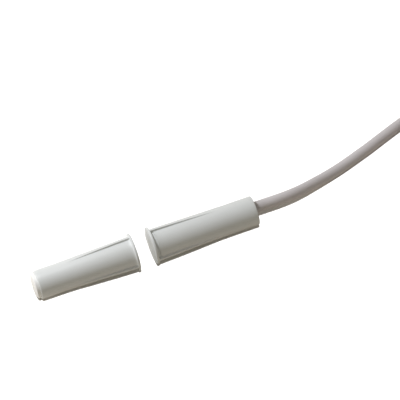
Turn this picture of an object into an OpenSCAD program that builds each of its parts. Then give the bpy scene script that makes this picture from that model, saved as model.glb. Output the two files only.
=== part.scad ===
// Recessed magnetic contact: a magnet barrel and a reed switch barrel lying in line, flange to
// flange, with the four-core lead of the switch half.
// Lengths are in millimetres. +X runs along the barrels towards the lead, +Z is up, the floor is
// z = 0, and x = 0 is halfway along the pair.

/* [Flanges and barrels] */
// Diameter of both flanges
flange_d = 12; // [12:0.1:16]
// Thickness of both flanges
flange_t = 0.7; // [0.5:0.05:1.4]
// Radius that rounds a flange's rim
rim_r = 0.14; // [0.05:0.01:0.2]
// Diameter of both barrels where they leave the flange
barrel_front_d = 10.3; // [9.9:0.05:10.4]
// Air between the two flange faces at rest
face_gap = 5.5; // [1:0.5:15]
// Length of the chamfer round the tail of a barrel
tail_chamfer = 0.25; // [0.1:0.05:0.4]

/* [Crush ribs] */
// Number of ribs round each barrel
rib_count = 3; // [2:1:6]
// Height of a rib at the flange
rib_h = 0.65; // [0.3:0.05:0.7]
// Width of a rib
rib_w = 0.9; // [0.5:0.05:1.4]
// Distance from the flange face at which a rib runs out
rib_len = 22.5; // [12:0.5:24]
// Turn of the first rib from the top of the barrel
rib_roll = 32; // [0:1:45]

/* [Switch housing] */
// Length of the switch half over its flange
switch_len = 34.8; // [34:0.2:42]
// Diameter of the straight tail of the switch barrel
switch_tail_d = 9.5; // [9.3:0.05:9.8]
// Length of the straight tail of the switch barrel
switch_straight = 9.5; // [6:0.5:10]
// Bore of the switch barrel
switch_bore_d = 7.7; // [7.5:0.05:8]
// Thickness of the closed front of the switch barrel
switch_front_wall = 1.2; // [0.8:0.1:1.6]
// Depth from the rear rim down to the potting
potting_recess = 1; // [0.5:0.1:1.4]
// Distance from the tamper loop's cores back to the front of the potting
potting_clearance = 0.8; // [0.3:0.1:1.2]

/* [Magnet half] */
// Length of the magnet half over its flange, without the plug head
magnet_half_len = 32.2; // [31:0.2:38]
// Diameter of the straight tail of the magnet barrel
magnet_tail_d = 9.2; // [8.9:0.05:9.6]
// Length of the straight tail of the magnet barrel
magnet_straight = 7.5; // [5:0.5:8]
// Diameter of the bar magnet
magnet_d = 6.3; // [5:0.1:6.6]
// Radial clearance round the bar magnet
magnet_clearance = 0.1; // [0.05:0.05:0.15]
// Thickness of the closed front of the magnet barrel
magnet_front_wall = 1.2; // [0.8:0.1:2]
// Length of the magnet's end play
magnet_play = 0.2; // [0.1:0.05:0.6]
// Chamfer of the bar magnet
magnet_chamfer = 0.3; // [0.1:0.05:0.6]
// Diameter of the end plug's head
plug_head_d = 8; // [7.5:0.1:8.4]
// Thickness of the end plug's head
plug_head_t = 1.6; // [0.8:0.1:2.5]
// Length of the end plug's spigot
plug_spigot = 5.8; // [2:0.2:7]
// Chamfer of the end plug
plug_chamfer = 0.25; // [0.1:0.05:0.4]

/* [Reed switch] */
// Outer diameter of the glass capsule
glass_d = 2.2; // [1.9:0.1:2.3]
// Length of the glass capsule
glass_len = 12; // [10:0.2:12.4]
// Wall of the glass capsule
glass_wall = 0.35; // [0.2:0.01:0.4]
// Length of the solid seal at each end of the capsule
seal_len = 2.2; // [1.5:0.1:2.6]
// Diameter of the reed's leads
lead_d = 0.5; // [0.4:0.02:0.56]
// Length of front lead between its bend and the capsule
lead_straight = 1; // [0.4:0.1:1.2]
// Distance from the front wall to the bend of the front lead
lead_front_gap = 0.5; // [0.2:0.05:0.7]
// Thickness of a reed blade
blade_t = 0.2; // [0.1:0.01:0.22]
// Width of a reed blade
blade_w = 0.9; // [0.6:0.02:0.96]
// Length over which the two blades overlap
blade_overlap = 1; // [0.6:0.05:1.6]
// Air between the open blades
contact_gap = 0.16; // [0.14:0.01:0.2]
// Clearance between a blade's root and its lead
root_clearance = 0.03; // [0.02:0.01:0.08]
// Wall of the sleeve on the return lead
sleeve_wall = 0.15; // [0.1:0.01:0.2]
// Length from the capsule to the solder joints
joint_reach = 1.8; // [1:0.1:2]
// Diameter of a solder joint
solder_d = 0.95; // [0.8:0.05:1]

/* [Lead] */
// Outer diameter of the lead
cable_d = 3.7; // [3.6:0.1:4]
// Air between the four cores and the jacket round them
core_clearance = 0.05; // [0.03:0.01:0.1]
// Sideways offset of the lead from the barrel's axis
cable_offset_y = 0.7; // [0.5:0.05:0.9]
// Upward offset of the lead from the barrel's axis
cable_offset_z = 0.35; // [0.2:0.05:0.5]
// Distance from the front of the potting back to the jacket's end
jacket_set_back = 1.2; // [0.5:0.1:1.6]
// Diameter of an insulated core
core_d = 1.1; // [0.9:0.05:1.12]
// Diameter of a core's conductor
wire_d = 0.5; // [0.3:0.02:0.56]
// Distance between neighbouring cores
core_pitch = 1.2; // [1.18:0.01:1.22]
// Length of bare conductor at a reed joint
reed_strip = 1.6; // [1:0.1:2]
// Distance from the reed joints back to the bend of the tamper loop
tamper_set_back = 2; // [1.6:0.1:2.2]
// Length of bare conductor at the tamper joint
tamper_strip = 1; // [0.6:0.1:1.2]

/* [Strain relief tie] */
// Thickness of the band round the jacket
tie_t = 0.7; // [0.4:0.05:0.9]
// Width of the band round the jacket
tie_w = 1.8; // [1.2:0.1:2.4]
// Distance from the jacket's end to the band
tie_set_back = 1.2; // [0.6:0.1:2]
// Side of the tie's square head
tie_head = 1.5; // [1:0.1:1.7]

/* [Coiled length] */
// Diameter across the middle of the coil's turns
coil_mean_d = 41.5; // [40:0.5:46]
// Turns beside each other in the coil
coil_columns = 4; // [3:1:5]
// Turns on each other in the coil
coil_layers = 4; // [3:1:5]
// Thickness of a coil tie, on which the coil lies
coil_tie_t = 0.5; // [0.3:0.05:0.8]
// Width of a coil tie
coil_tie_w = 3.6; // [2:0.2:5]
// Thickness of a coil tie's head over its band
coil_tie_head = 1.4; // [1:0.1:2]
// Length of each core beyond the end of the jacket
tail_core_len = 13; // [8:1:20]
// Length of each tinned tip
tail_wire_len = 5; // [3:0.5:8]

/* [Hidden] */
$fn = 64;

// Both halves lie level on their flange rims, and the pair is centred on x = 0
axis_z = flange_d / 2;
pair_len = switch_len + face_gap + magnet_half_len + plug_head_t;
switch_face_x = pair_len / 2 - switch_len;
magnet_face_x = switch_face_x - face_gap;

// Depth to which a rib's root reaches into the barrel's wall
rib_root = 0.6;
// Depth under the barrel's skin at which a rib's back runs out
rib_run_out = 0.04;

magnet_bore_d = magnet_d + 2 * magnet_clearance;
magnet_bore_len = magnet_half_len - magnet_front_wall;
magnet_len = magnet_bore_len - plug_spigot - magnet_play;

// The cores lie in a square round the lead's axis: white and brown go to the reed on one
// diagonal, green and yellow to the tamper joint on the other
WHITE = 0;
BROWN = 1;
GREEN = 2;
YELLOW = 3;
core_sides = [[-1, -1], [1, 1], [1, -1], [-1, 1]];
core_colours = ["white", "sienna", "seagreen", "gold"];
cable_yz = [cable_offset_y, cable_offset_z];
core_yz = [for (side = core_sides) cable_yz + side * core_pitch / 2];
bend_r = norm(core_yz[BROWN] - core_yz[WHITE]) / 2;
jacket_bore_d = 2 * bend_r + core_d + 2 * core_clearance;

// Stations along the switch barrel, counted from its flange face
lead_bend_x = switch_front_wall + lead_front_gap + lead_d / 2 + bend_r;
glass_x = lead_bend_x + lead_straight;
glass_end_x = glass_x + glass_len;
reed_joint_x = glass_end_x + joint_reach;
reed_core_x = reed_joint_x + reed_strip;
tamper_joint_x = reed_joint_x + tamper_set_back;
tamper_core_x = tamper_joint_x + tamper_strip;
potting_end_x = switch_len - potting_recess;
potting_x = tamper_core_x + potting_clearance;
jacket_x = potting_x + jacket_set_back;
glass_round = glass_d / 3;
blade_len = glass_len / 2 - seal_len + blade_overlap / 2 - root_clearance;

// Coil beyond the lead's visible stretch
coil_centre = [113.5, -8];
coil_inner_r = coil_mean_d / 2 - coil_columns * cable_d / 2;
coil_outer_r = coil_mean_d / 2 + coil_columns * cable_d / 2;
coil_h = coil_layers * cable_d;
coil_corner = cable_d / 2;
coil_tie_turns = [190, 310];

// The lead's way from the potting to the coil
route = [
    [36.05, 0.7, 6.35], [40.5, 0.7, 6.35], [45, 0.7, 6.25], [49.4, 1, 5.8], [53.9, 1.8, 4.9],
    [58.2, 2.95, 3.8], [62.6, 4.15, 2.8], [67, 5.4, 2.1], [71.2, 6.65, 1.85], [75.4, 7.95, 1.85],
    [79.7, 9.3, 1.85], [84, 10.8, 1.85], [89.5, 12.7, 1.85], [94, 14.15, 1.85], [98.2, 15.4, 1.9],
    [102.2, 16.45, 2], [106.1, 17.35, 2.2], [109.8, 18.05, 2.35]
];
// The lead's way from the top of the coil down to its bare end
tail_route = [
    [109.8, 18.05, 13.45], [116.3, 18.5, 13.45], [122.3, 18.3, 13.3], [128.3, 17.2, 12.6], [133.9, 14.2, 10.9],
    [138.5, 9, 8.6], [141.9, 2.9, 6], [143.7, -3.6, 3.8], [144.1, -10.2, 2.35], [143.4, -15.6, 1.85]
];
cable_sides = 8;
tail_end = tail_route[len(tail_route) - 1];
tail_heading = atan2(
    tail_end[1] - tail_route[len(tail_route) - 2][1],
    tail_end[0] - tail_route[len(tail_route) - 2][0]
);
tail_spread = [-13, 3, 13, -3];
// Air between the end face of the jacket and the turned ends of the cores
tail_clearance = 0.15;

// Points on an arc round a centre, from one angle to another
function arc(centre, r, from, to, steps) =
    [for (i = [0:steps]) centre + r * [cos(from + (to - from) * i / steps), sin(from + (to - from) * i / steps)]];

function unit(v) = v / norm(v);

// Direction of a route at one of its points
function heading(points, i) = unit(points[min(i + 1, len(points) - 1)] - points[max(i - 1, 0)]);

// Ring of points square to a route at one of its points, its flats level
function ring(points, i, r, sides) =
    let (
        ahead = heading(points, i),
        side = unit(cross(ahead, [0, 0, 1])),
        up = cross(side, ahead)
    )
    [for (k = [0:sides - 1]) points[i] + r * (cos(360 * k / sides) * side + sin(360 * k / sides) * up)];

// Solid tube along a route
module swept(points, d, sides) {
    rings = len(points);
    skin = [for (i = [0:rings - 1]) each ring(points, i, d / 2, sides)];
    walls = [
        for (i = [0:rings - 2], k = [0:sides - 1])
            [i * sides + k, i * sides + (k + 1) % sides, (i + 1) * sides + (k + 1) % sides, (i + 1) * sides + k]
    ];
    first = [for (k = [sides - 1:-1:0]) k];
    last = [for (k = [0:sides - 1]) (rings - 1) * sides + k];
    polyhedron(points = skin, faces = concat([first], walls, [last]), convexity = 10);
}

// Round bar along X between two stations
module bar_x(from, to, d, yz = [0, 0]) {
    translate([from, yz[0], yz[1]]) rotate([0, 90, 0]) cylinder(h = to - from, d = d);
}

// Solid of revolution round X, from a profile of [radius, station] points
module turned_x(profile, yz = [0, 0]) {
    translate([0, yz[0], yz[1]]) rotate([0, 90, 0]) rotate_extrude() polygon(profile);
}

// Half ring of wire that joins two parallel axes, bowed towards the flange
module wire_bend(x, from_yz, to_yz, d) {
    middle = (from_yz + to_yz) / 2;
    across = to_yz - from_yz;
    translate([x, middle[0], middle[1]])
        rotate([atan2(across[1], across[0]), 0, 0])
            rotate([0, 0, 90])
                rotate_extrude(angle = 180) translate([norm(across) / 2, 0]) circle(d = d);
}

// Places a shape drawn from the switch's flange face backwards
module on_switch() {
    translate([switch_face_x, 0, axis_z]) children();
}

// Places a shape drawn from the magnet's flange face backwards
module on_magnet() {
    translate([magnet_face_x, 0, axis_z]) rotate([0, 0, 180]) children();
}

// Outside of a barrel: flange with a rounded rim, tapered body, straight tail
module barrel_skin(length, tail_d, straight) {
    turned_x(concat(
        [[0, 0]],
        arc([flange_d / 2 - rim_r, rim_r], rim_r, -90, 0, 4),
        arc([flange_d / 2 - rim_r, flange_t - rim_r], rim_r, 0, 90, 4),
        [
            [barrel_front_d / 2, flange_t],
            [tail_d / 2, length - straight],
            [tail_d / 2, length - tail_chamfer],
            [tail_d / 2 - tail_chamfer, length],
            [0, length]
        ]
    ));
}

// One wedge rib: highest at the flange, run out into the barrel's skin at rib_len
module rib(length, tail_d, straight) {
    taper = (barrel_front_d - tail_d) / 2 / (length - straight - flange_t);
    run_out_r = barrel_front_d / 2 - taper * (rib_len - flange_t);
    rotate([90, 0, 0])
        linear_extrude(height = rib_w, center = true)
            polygon([
                [flange_t / 2, tail_d / 2 - rib_root],
                [flange_t / 2, barrel_front_d / 2 + rib_h],
                [flange_t, barrel_front_d / 2 + rib_h],
                [rib_len, run_out_r - rib_run_out],
                [rib_len, tail_d / 2 - rib_root]
            ]);
}

module ribs(length, tail_d, straight) {
    for (i = [0:rib_count - 1])
        rotate([i * 360 / rib_count, 0, 0])
            rib(length, tail_d, straight);
}

module switch_housing() {
    color("gainsboro") on_switch() difference() {
        union() {
            barrel_skin(switch_len, switch_tail_d, switch_straight);
            rotate([-rib_roll, 0, 0]) ribs(switch_len, switch_tail_d, switch_straight);
        }
        bar_x(switch_front_wall, switch_len + 1, switch_bore_d);
    }
}

module magnet_housing() {
    color("gainsboro") on_magnet() difference() {
        union() {
            barrel_skin(magnet_half_len, magnet_tail_d, magnet_straight);
            rotate([rib_roll, 0, 0]) ribs(magnet_half_len, magnet_tail_d, magnet_straight);
        }
        bar_x(magnet_front_wall, magnet_half_len + 1, magnet_bore_d);
    }
}

module bar_magnet() {
    front = magnet_front_wall;
    r = magnet_d / 2;
    color("dimgray") on_magnet() turned_x([
        [0, front],
        [r - magnet_chamfer, front],
        [r, front + magnet_chamfer],
        [r, front + magnet_len - magnet_chamfer],
        [r - magnet_chamfer, front + magnet_len],
        [0, front + magnet_len]
    ]);
}

module end_plug() {
    inner = magnet_half_len - plug_spigot;
    outer = magnet_half_len + plug_head_t;
    color("white") on_magnet() turned_x([
        [0, inner],
        [magnet_bore_d / 2 - plug_chamfer, inner],
        [magnet_bore_d / 2, inner + plug_chamfer],
        [magnet_bore_d / 2, magnet_half_len],
        [plug_head_d / 2, magnet_half_len],
        [plug_head_d / 2, outer - plug_chamfer],
        [plug_head_d / 2 - plug_chamfer, outer],
        [0, outer]
    ]);
}

// Outside of the glass capsule, with its fused round ends
module glass_skin() {
    turned_x(concat(
        [[0, glass_x]],
        arc([glass_d / 2 - glass_round, glass_x + glass_round], glass_round, -90, 0, 5),
        arc([glass_d / 2 - glass_round, glass_end_x - glass_round], glass_round, 0, 90, 5),
        [[0, glass_end_x]]
    ), core_yz[WHITE]);
}

module reed_glass() {
    color("lightcyan", 0.5) on_switch() difference() {
        glass_skin();
        bar_x(glass_x - 1, glass_end_x + 1, lead_d, core_yz[WHITE]);
        bar_x(glass_x + seal_len, glass_end_x - seal_len, glass_d - 2 * glass_wall, core_yz[WHITE]);
    }
}

// Flat blade: from is its end nearer the flange, and side is -1 below the contact gap or 1 above
module blade(from, side) {
    translate([
        from,
        core_yz[WHITE][0] - blade_w / 2,
        core_yz[WHITE][1] + side * (contact_gap + blade_t) / 2 - blade_t / 2
    ])
        cube([blade_len, blade_w, blade_t]);
}

module front_blade() {
    color("silver") on_switch() blade(glass_x + seal_len + root_clearance, -1);
}

module rear_blade() {
    color("silver") on_switch() blade(glass_end_x - seal_len - root_clearance - blade_len, 1);
}

// Front lead: out of the front seal, round a half ring and back along the capsule
module front_lead_shape(d) {
    bar_x(lead_bend_x, glass_x + seal_len, d, core_yz[WHITE]);
    wire_bend(lead_bend_x, core_yz[WHITE], core_yz[BROWN], d);
    bar_x(lead_bend_x, reed_joint_x, d, core_yz[BROWN]);
}

module front_lead() {
    color("silver") on_switch() difference() {
        union() front_lead_shape(lead_d);
        solder_ball(reed_joint_x, BROWN);
    }
}

module rear_lead() {
    color("silver") on_switch() difference() {
        bar_x(glass_end_x - seal_len, reed_joint_x, lead_d, core_yz[WHITE]);
        solder_ball(reed_joint_x, WHITE);
    }
}

// Sleeve that keeps the return lead off the capsule
module lead_sleeve() {
    color("ivory") on_switch() difference() {
        bar_x(lead_bend_x, glass_end_x, lead_d + 2 * sleeve_wall, core_yz[BROWN]);
        bar_x(lead_bend_x - 1, glass_end_x + 1, lead_d, core_yz[BROWN]);
    }
}

// Bead of solder round the meeting ends of two wires
module solder_ball(x, core) {
    translate([x, core_yz[core][0], core_yz[core][1]]) sphere(d = solder_d);
}

module front_solder_joint() {
    color("lightgray") on_switch() solder_ball(reed_joint_x, BROWN);
}

module rear_solder_joint() {
    color("lightgray") on_switch() solder_ball(reed_joint_x, WHITE);
}

module tamper_solder_joint() {
    color("lightgray") on_switch() solder_ball(tamper_joint_x, GREEN);
}

function joint_station(core) = core == WHITE || core == BROWN ? reed_joint_x : tamper_joint_x;

function core_station(core) = core == WHITE || core == BROWN ? reed_core_x : tamper_core_x;

// Insulation of one core, from its stripped end to the end of the held jacket
module core(i) {
    color(core_colours[i]) on_switch() difference() {
        bar_x(core_station(i), potting_end_x, core_d, core_yz[i]);
        bar_x(core_station(i) - 1, potting_end_x + 1, wire_d, core_yz[i]);
    }
}

// Conductor of one core; the yellow one is bent over to the green one's joint
module wire(i) {
    color("peru") on_switch() difference() {
        union() {
            bar_x(joint_station(i), potting_end_x, wire_d, core_yz[i]);
            if (i == YELLOW)
                wire_bend(tamper_joint_x, core_yz[YELLOW], core_yz[GREEN], wire_d);
        }
        solder_ball(joint_station(i), i == YELLOW ? GREEN : i);
    }
}

// Jacket of the lead where the barrel holds it
module cable_inlet() {
    color("silver") on_switch() difference() {
        bar_x(jacket_x, potting_end_x, cable_d, cable_yz);
        bar_x(jacket_x - 1, potting_end_x + 1, jacket_bore_d, cable_yz);
    }
}

// Band and head of the strain relief tie, without the hole for the jacket
module strain_tie_shape() {
    start = jacket_x + tie_set_back;
    head_turn = atan2(-cable_yz[1], -cable_yz[0]);
    bar_x(start, start + tie_w, cable_d + 2 * tie_t, cable_yz);
    translate([start, cable_yz[0], cable_yz[1]])
        rotate([head_turn, 0, 0])
            translate([0, cable_d / 2, -tie_head / 2])
                cube([tie_w, tie_head, tie_head]);
}

module strain_tie() {
    color("whitesmoke") on_switch() difference() {
        union() strain_tie_shape();
        bar_x(jacket_x, potting_end_x, cable_d, cable_yz);
    }
}

// Compound that seals the rear of the switch barrel round the cores, the jacket and its tie
module potting() {
    color("dimgray") on_switch() difference() {
        bar_x(potting_x, potting_end_x, switch_bore_d);
        for (i = [WHITE:YELLOW])
            bar_x(potting_x - 1, jacket_x, core_d, core_yz[i]);
        bar_x(jacket_x, potting_end_x + 1, cable_d, cable_yz);
        strain_tie_shape();
    }
}

module cable_run() {
    color("silver") swept(route, cable_d, cable_sides);
}

module cable_tail() {
    color("silver") swept(tail_route, cable_d, cable_sides);
}

// Outline of the coil's section with all four corners rounded, grown by a margin
module coil_section(grow) {
    low = [coil_inner_r - grow, coil_tie_t - grow];
    high = [coil_outer_r + grow, coil_tie_t + coil_h + grow];
    polygon(concat(
        arc([low[0] + coil_corner, low[1] + coil_corner], coil_corner, 180, 270, 5),
        arc([high[0] - coil_corner, low[1] + coil_corner], coil_corner, 270, 360, 5),
        arc([high[0] - coil_corner, high[1] - coil_corner], coil_corner, 0, 90, 5),
        arc([low[0] + coil_corner, high[1] - coil_corner], coil_corner, 90, 180, 5)
    ));
}

module cable_coil() {
    color("silver") translate([coil_centre[0], coil_centre[1], 0])
        rotate_extrude() coil_section(0);
}

// One flat tie round the coil's section, with its head on the outside
module coil_tie() {
    span = 2 * asin(coil_tie_w / 2 / coil_outer_r);
    rotate([0, 0, -span / 2]) rotate_extrude(angle = span) difference() {
        coil_section(coil_tie_t);
        coil_section(0);
    }
    translate([coil_inner_r + coil_corner, -coil_tie_w / 2, coil_tie_t + coil_h])
        cube([coil_tie_w, coil_tie_w, coil_tie_t + coil_tie_head]);
}

module coil_ties() {
    color("whitesmoke") translate([coil_centre[0], coil_centre[1], 0])
        for (turn = coil_tie_turns) rotate([0, 0, turn]) coil_tie();
}

// Places a bar drawn along X on one core where the jacket ends, fanned out and sloped to the floor
module on_tail(i) {
    lift = core_sides[i][1] * core_pitch / 2;
    drop = tail_end[2] + lift - core_d / 2;
    slope = asin(drop / (tail_core_len + tail_wire_len));
    translate(tail_end) rotate([0, 0, tail_heading])
        translate([0, core_sides[i][0] * core_pitch / 2, lift])
            rotate([0, slope, tail_spread[i]])
                children();
}

module tail_core(i) {
    color(core_colours[i]) on_tail(i) difference() {
        bar_x(tail_clearance, tail_core_len, core_d);
        bar_x(-1, tail_core_len + 1, wire_d);
    }
}

module tail_wire(i) {
    color("lightgray") on_tail(i) bar_x(tail_clearance, tail_core_len + tail_wire_len, wire_d);
}

switch_housing();
potting();
reed_glass();
front_blade();
rear_blade();
front_lead();
rear_lead();
lead_sleeve();
front_solder_joint();
rear_solder_joint();
tamper_solder_joint();
core(WHITE);  // core_white
core(BROWN);  // core_brown
core(GREEN);  // core_green
core(YELLOW);  // core_yellow
wire(WHITE);  // wire_white
wire(BROWN);  // wire_brown
wire(GREEN);  // wire_green
wire(YELLOW);  // wire_yellow
cable_inlet();
strain_tie();
magnet_housing();
bar_magnet();
end_plug();
cable_run();
cable_coil();
coil_ties();
cable_tail();
tail_core(WHITE);  // tail_core_white
tail_core(BROWN);  // tail_core_brown
tail_core(GREEN);  // tail_core_green
tail_core(YELLOW);  // tail_core_yellow
tail_wire(WHITE);  // tail_wire_white
tail_wire(BROWN);  // tail_wire_brown
tail_wire(GREEN);  // tail_wire_green
tail_wire(YELLOW);  // tail_wire_yellow
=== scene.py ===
"""Dresses a recessed magnetic contact: two moulded barrels lying in line and the switch half's lead.

Lengths are in metres, in the row's own frame: +X runs along the barrels towards the lead, +Z is up
and the floor is z = 0.
"""

import logging
import math
from dataclasses import dataclass
from enum import Enum
from typing import Iterable, Sequence

import bmesh
import bpy
from bmesh.types import BMEdge, BMesh, BMFace, BMVert
from bpy.types import Material, NodeSocket, NodeTree, Object, World
from mathutils import Matrix, Vector


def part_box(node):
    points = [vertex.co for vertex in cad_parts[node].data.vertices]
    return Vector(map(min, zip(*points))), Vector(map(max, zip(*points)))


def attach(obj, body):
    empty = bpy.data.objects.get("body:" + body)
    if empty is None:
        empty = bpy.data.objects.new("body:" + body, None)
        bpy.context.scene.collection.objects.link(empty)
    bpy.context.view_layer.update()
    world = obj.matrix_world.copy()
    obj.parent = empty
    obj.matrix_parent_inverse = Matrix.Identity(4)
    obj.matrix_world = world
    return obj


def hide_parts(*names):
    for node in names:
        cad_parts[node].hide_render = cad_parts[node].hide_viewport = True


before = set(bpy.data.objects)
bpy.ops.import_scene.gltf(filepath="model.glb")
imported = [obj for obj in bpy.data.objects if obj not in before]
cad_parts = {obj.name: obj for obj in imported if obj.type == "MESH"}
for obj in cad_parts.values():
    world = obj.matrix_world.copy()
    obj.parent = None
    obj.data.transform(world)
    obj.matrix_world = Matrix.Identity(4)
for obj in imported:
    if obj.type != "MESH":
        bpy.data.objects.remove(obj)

MM = 0.001
HAIR = 0.001 * MM
WHITE = (1.0, 1.0, 1.0)
MIX_COLOUR_OUTPUT = 2
Point = tuple[float, float]
Triple = tuple[float, float, float]
log = logging.getLogger("magnetic_contact")


class Body(Enum):
    """The rigid bodies that the new pieces ride on."""

    SWITCH = "switch_half"
    MAGNET = "magnet_half"


class Core(Enum):
    """The lead's four cores: linear colour, sides of the middle (left, up), bare end's spread in degrees."""

    WHITE = ((0.82, 0.82, 0.79), (-1, -1), -13.0)
    BROWN = ((0.17, 0.065, 0.03), (1, 1), 3.0)
    GREEN = ((0.04, 0.25, 0.09), (1, -1), 13.0)
    YELLOW = ((0.78, 0.56, 0.05), (-1, 1), -3.0)

    def __init__(self, colour: Triple, sides: tuple[int, int], spread_deg: float) -> None:
        """Gives the three values their names."""
        self.colour, self.sides, self.spread_deg = colour, sides, spread_deg

    @property
    def word(self) -> str:
        """The colour as it stands in a node's name."""
        return self.name.lower()


@dataclass(frozen=True)
class Signal:
    """A node's output socket, on which plain arithmetic adds Math nodes."""

    tree: NodeTree
    socket: NodeSocket

    def math(self, operation: str, *others: "Signal | float", clamp: bool = False) -> "Signal":
        """Joins this value and others in one Math node.

        Args:
            operation: the Math node's operation.
            others: the values of its further inputs.
            clamp: whether the result is kept between 0 and 1.

        Returns:
            The Math node's result.
        """
        node = self.tree.nodes.new("ShaderNodeMath")
        node.operation, node.use_clamp = operation, clamp
        for place, value in enumerate((self, *others)):
            plug(self.tree, node.inputs[place], value)
        return Signal(self.tree, node.outputs[0])

    def __add__(self, other: "Signal | float") -> "Signal":
        """Sum."""
        return self.math("ADD", other)

    __radd__ = __add__

    def __sub__(self, other: "Signal | float") -> "Signal":
        """Difference."""
        return self.math("SUBTRACT", other)

    def __rsub__(self, other: float) -> "Signal":
        """Difference from a plain number."""
        return (self * -1.0) + other

    def __mul__(self, other: "Signal | float") -> "Signal":
        """Product."""
        return self.math("MULTIPLY", other)

    __rmul__ = __mul__

    def clamped(self) -> "Signal":
        """The value, kept between 0 and 1."""
        return self.math("ADD", 0.0, clamp=True)

    def sine(self) -> "Signal":
        """The sine of the value, in radians."""
        return self.math("SINE")


def plug(tree: NodeTree, socket: NodeSocket, value: object) -> None:
    """Links a signal to a socket, or sets the socket to a plain value.

    Args:
        tree: the node tree that holds the socket.
        socket: the input to feed.
        value: a Signal, a number, or a colour or vector as a tuple.
    """
    if isinstance(value, Signal):
        tree.links.new(value.socket, socket)
    elif isinstance(value, tuple) and len(value) == 3 and socket.type == "RGBA":
        socket.default_value = (*value, 1.0)
    else:
        socket.default_value = value


class ShaderBench:
    """A material's or the world's node tree, with a method that makes any node."""

    def __init__(self, name: str, kind: str = "materials") -> None:
        """Starts an empty tree.

        Args:
            name: the material's or world's name.
            kind: the list of bpy.data that it goes into, materials or worlds.
        """
        self.owner = getattr(bpy.data, kind).new(name)
        self.owner.use_nodes = True
        self.tree = self.owner.node_tree
        self.tree.nodes.clear()

    def node(
        self, kind: str, settings: dict[str, object] | None = None, output: int | str = 0, **sockets: object
    ) -> Signal:
        """Makes a node.

        Args:
            kind: the node's type without its ShaderNode prefix.
            settings: the node's own properties, set first; "stops" sets a ramp's (place, grey) stops.
            output: which output to return.
            sockets: values or links, by the input's name with underscores for spaces.

        Returns:
            The chosen output.
        """
        node = self.tree.nodes.new("ShaderNode" + kind)
        for key, value in (settings or {}).items():
            if key == "stops":
                for element, (place, grey) in zip(node.color_ramp.elements, value, strict=True):
                    element.position, element.color = place, (grey, grey, grey, 1.0)
            else:
                setattr(node, key, value)
        for name, value in sockets.items():
            wanted = name.replace("_", " ")
            plug(self.tree, next(s for s in node.inputs if s.name == wanted and s.enabled), value)
        return Signal(self.tree, node.outputs[output])

    def noise(
        self,
        scale: float,
        detail: float = 3.0,
        roughness: float = 0.5,
        stretch: Triple = (1.0, 1.0, 1.0),
        source: str = "Object",
    ) -> Signal:
        """Noise from 0 to 1 with its middle at a half, on stretched Object or UV coordinates."""
        where = self.node("Mapping", Vector=self.node("TexCoord", output=source), Scale=stretch)
        return self.node("TexNoise", Vector=where, Scale=scale, Detail=detail, Roughness=roughness)

    def blend(self, amount: Signal | float, first: object, second: object) -> Signal:
        """Mixes two colours or their signals: an amount of 0 gives the first and 1 the second."""
        return self.node("Mix", {"data_type": "RGBA"}, MIX_COLOUR_OUTPUT, Factor=amount, A=first, B=second)

    def bump(self, height: Signal, depth: float) -> Signal:
        """A normal from a height between 0 and 1, of a depth in metres."""
        return self.node("Bump", Height=height, Distance=depth, Strength=1.0)

    def ray(self, kind: str) -> Signal:
        """1 on rays of a kind, such as Glossy, and 0 on all others."""
        return self.node("LightPath", output=f"Is {kind} Ray")

    def close(self, surface: Signal, output: str = "OutputMaterial") -> Material | World:
        """Joins a shader to an output node and gives the material or world back."""
        end = self.tree.nodes.new("ShaderNode" + output)
        plug(self.tree, end.inputs["Surface"], surface)
        return self.owner

    def principled(self, **sockets: object) -> Material:
        """Closes the material with a Principled shader that has the given sockets."""
        return self.close(self.node("BsdfPrincipled", **sockets))


@dataclass(frozen=True)
class Surface:
    """What every finish has: its material's name and its linear colour."""

    name: str
    colour: Triple

    def tone(self, factor: float) -> Triple:
        """The colour made lighter or darker by one factor, with none of its parts over 1."""
        return tuple(min(1.0, part * factor) for part in self.colour)


@dataclass(frozen=True)
class MouldedPlastic(Surface):
    """Injection-moulded ABS: fine spark-eroded grain, faint flow streaks along the barrel."""

    roughness: float = 0.46
    grain: float = 0.010 * MM
    streaks: float = 0.035

    def build(self) -> Material:
        """Builds the material."""
        bench = ShaderBench(self.name)
        cloud = bench.noise(190.0, 4.0)
        flow = bench.noise(1.0, 4.0, 0.6, (70.0, 900.0, 900.0))
        fine = bench.noise(6500.0, 2.0, 0.65)
        dark, light = self.tone(1.0 - 2.0 * self.streaks), self.tone(1.0 + self.streaks)
        tone = bench.blend((cloud * 0.5 + flow * 0.5).clamped(), dark, light)
        speck = bench.node("ValToRGB", {"stops": [(0.28, 1.0), (0.36, 0.0)]}, Fac=fine)
        return bench.principled(
            Base_Color=bench.blend(speck * 0.06, tone, self.tone(0.7)),
            Roughness=cloud * 0.12 + fine * 0.10 + (self.roughness - 0.11),
            IOR=1.53,
            Normal=bench.bump(fine * 0.7 + flow * 0.3, self.grain),
        )


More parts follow.
